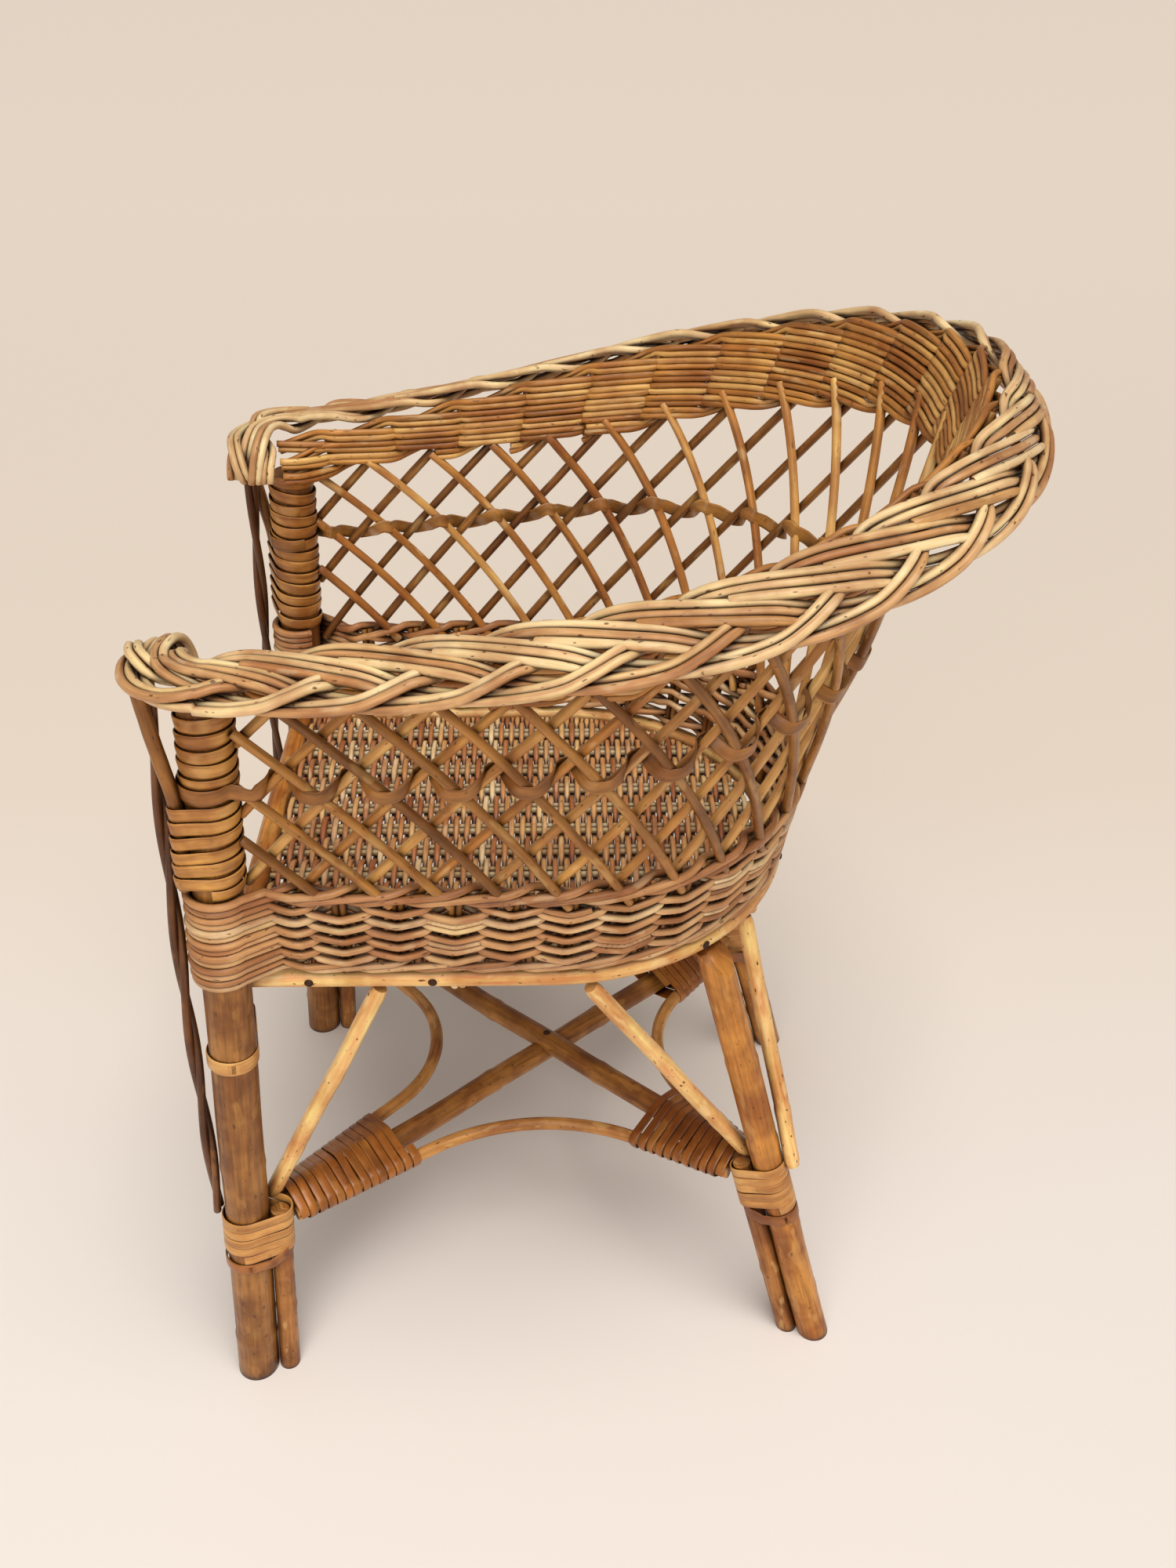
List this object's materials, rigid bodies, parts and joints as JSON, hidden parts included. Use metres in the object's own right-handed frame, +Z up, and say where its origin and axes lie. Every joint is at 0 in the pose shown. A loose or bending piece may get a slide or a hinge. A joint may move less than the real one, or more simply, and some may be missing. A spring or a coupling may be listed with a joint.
{
  "type": "child wicker chair",
  "caption": "Child's round-backed wicker armchair with an open lattice wall, plaited rim, woven seat and bound stick legs",
  "frame": {"origin": "On the floor, under the middle of the chair's bounding box", "axes": "+Z up, -Y the way the sitter looks, +X the sitter's left; YZ is the chair's plane of symmetry"},
  "size_m": [0.3656, 0.4096, 0.5418],
  "materials": {
    "rattan_pole": "Thick round poles of rattan or peeled stick, orange brown with darker rings, thin old varnish, worn pale at the feet",
    "bark_stick": "Thinner willow sticks with bark, brown with pale lens-shaped patches, thin old varnish",
    "wall_willow": "Round willow rods of the wall and rim, honey to olive brown from rod to rod, satin old varnish",
    "dark_willow": "Dark brown willow rods, satin old varnish",
    "seat_willow": "Pale straw-coloured willow of the seat, dry and matt",
    "pale_skein": "Flat strips of split willow, light honey, satin",
    "cane_strip": "Flat strips of cane, glossy golden brown",
    "nail_steel": "Small dark nail heads, dull brown-black"
  },
  "bodies": {
    "root": {"front_post_left": "rattan_pole", "front_post_right": "rattan_pole", "rear_leg_left": "rattan_pole", "rear_leg_right": "rattan_pole", "foot_stick_front_left": "bark_stick", "foot_stick_front_right": "bark_stick", "foot_stick_rear_left": "bark_stick", "foot_stick_rear_right": "bark_stick", "cross_bar_upper": "rattan_pole", "cross_bar_lower": "rattan_pole", "bow_front": "bark_stick", "bow_back": "bark_stick", "bow_left": "bark_stick", "bow_right": "bark_stick", "corner_wrap_front_left": "cane_strip", "corner_wrap_front_right": "cane_strip", "corner_wrap_rear_left": "cane_strip", "corner_wrap_rear_right": "cane_strip", "leg_binding_front_left": "pale_skein", "leg_binding_front_right": "pale_skein", "leg_binding_rear_left": "pale_skein", "leg_binding_rear_right": "pale_skein", "front_brace_left": "bark_stick", "front_brace_right": "bark_stick", "rear_side_brace_left": "bark_stick", "rear_side_brace_right": "bark_stick", "rear_back_brace_left": "bark_stick", "rear_back_brace_right": "bark_stick", "seat_hoop": "rattan_pole", "under_seat_rod": "bark_stick", "front_rail": "rattan_pole", "seat_stakes": "seat_willow", "seat_weavers": "seat_willow", "apron_rods": "dark_willow", "apron_strap_left": "pale_skein", "apron_strap_right": "pale_skein", "band_rows_1": "wall_willow", "band_rows_2": "wall_willow", "band_rows_3": "wall_willow", "band_rows_4": "wall_willow", "band_rows_5": "wall_willow", "band_turns_left": "wall_willow", "band_turns_right": "wall_willow", "post_wrap_left": "pale_skein", "post_wrap_right": "pale_skein", "lattice_outer": "wall_willow", "lattice_inner": "wall_willow", "twist_row": "cane_strip", "wale_rows_1": "wall_willow", "wale_rows_2": "wall_willow", "wale_rows_3": "wall_willow", "rim_strand_1": "wall_willow", "rim_strand_2": "wall_willow", "rim_strand_3": "wall_willow", "arm_rods_left": "dark_willow", "arm_rods_right": "dark_willow", "hoop_nails": "nail_steel"}
  },
  "joints": []
}
